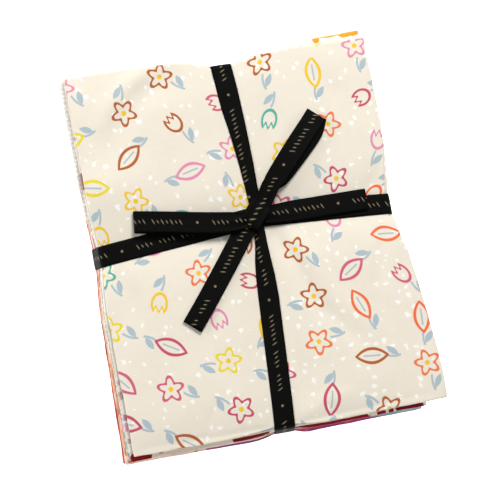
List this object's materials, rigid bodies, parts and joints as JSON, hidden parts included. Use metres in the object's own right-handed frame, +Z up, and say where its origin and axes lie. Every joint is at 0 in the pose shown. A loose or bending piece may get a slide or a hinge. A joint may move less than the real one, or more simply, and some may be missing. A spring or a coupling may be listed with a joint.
{
  "type": "fat quarter bundle",
  "caption": "Bundle of folded quilting-cotton fat quarters, stacked and tied crosswise with a narrow ribbon that ends in a flat bow on top.",
  "frame": {"origin": "on the surface the bundle lies on, under the middle of its outline", "axes": "+Y along the bundle's long side, from its front edge to its back edge; +X across it; +Z up through the stack to the bow"},
  "size_m": [0.1982, 0.2388, 0.0461],
  "materials": {
    "cotton_blue_grey": "matt plain-weave quilting cotton, pale blue-grey with small white dots",
    "cotton_salmon_red": "matt plain-weave quilting cotton, salmon red and peach print",
    "cotton_magenta": "matt plain-weave quilting cotton, magenta print",
    "cotton_pink": "matt plain-weave quilting cotton, pink print",
    "cotton_peach": "matt plain-weave quilting cotton, peach print",
    "cotton_cream_rings": "matt plain-weave quilting cotton, cream with rings",
    "cotton_orange": "matt plain-weave quilting cotton, orange print",
    "cotton_plum": "matt plain-weave quilting cotton, plum with dots",
    "cotton_teal": "matt plain-weave quilting cotton, teal print",
    "cotton_crimson_pink": "matt plain-weave quilting cotton, crimson pink print",
    "cotton_dark_red": "matt plain-weave quilting cotton, large dark red patches on cream",
    "cotton_pale_dots": "matt plain-weave quilting cotton, pale grey with white dots",
    "cotton_white_patches": "matt plain-weave quilting cotton, off-white with scattered yellow-orange patches",
    "cotton_cream_print": "matt plain-weave quilting cotton, cream with small printed flowers and leaves",
    "ribbon": "woven black ribbon with a low sheen"
  },
  "bodies": {
    "root": {"fat_quarter_01": "cotton_blue_grey", "fat_quarter_02": "cotton_salmon_red", "fat_quarter_03": "cotton_magenta", "fat_quarter_04": "cotton_pink", "fat_quarter_05": "cotton_peach", "fat_quarter_06": "cotton_cream_rings", "fat_quarter_07": "cotton_orange", "fat_quarter_08": "cotton_plum", "fat_quarter_09": "cotton_teal", "fat_quarter_10": "cotton_crimson_pink", "fat_quarter_11": "cotton_dark_red", "fat_quarter_12": "cotton_pale_dots", "fat_quarter_13": "cotton_white_patches", "fat_quarter_14": "cotton_cream_print", "ribbon_lengthwise": "ribbon", "ribbon_cross": "ribbon", "bow_knot": "ribbon", "bow_loop_left": "ribbon", "bow_loop_right": "ribbon", "bow_tail_lower": "ribbon", "bow_tail_right": "ribbon"}
  },
  "joints": []
}
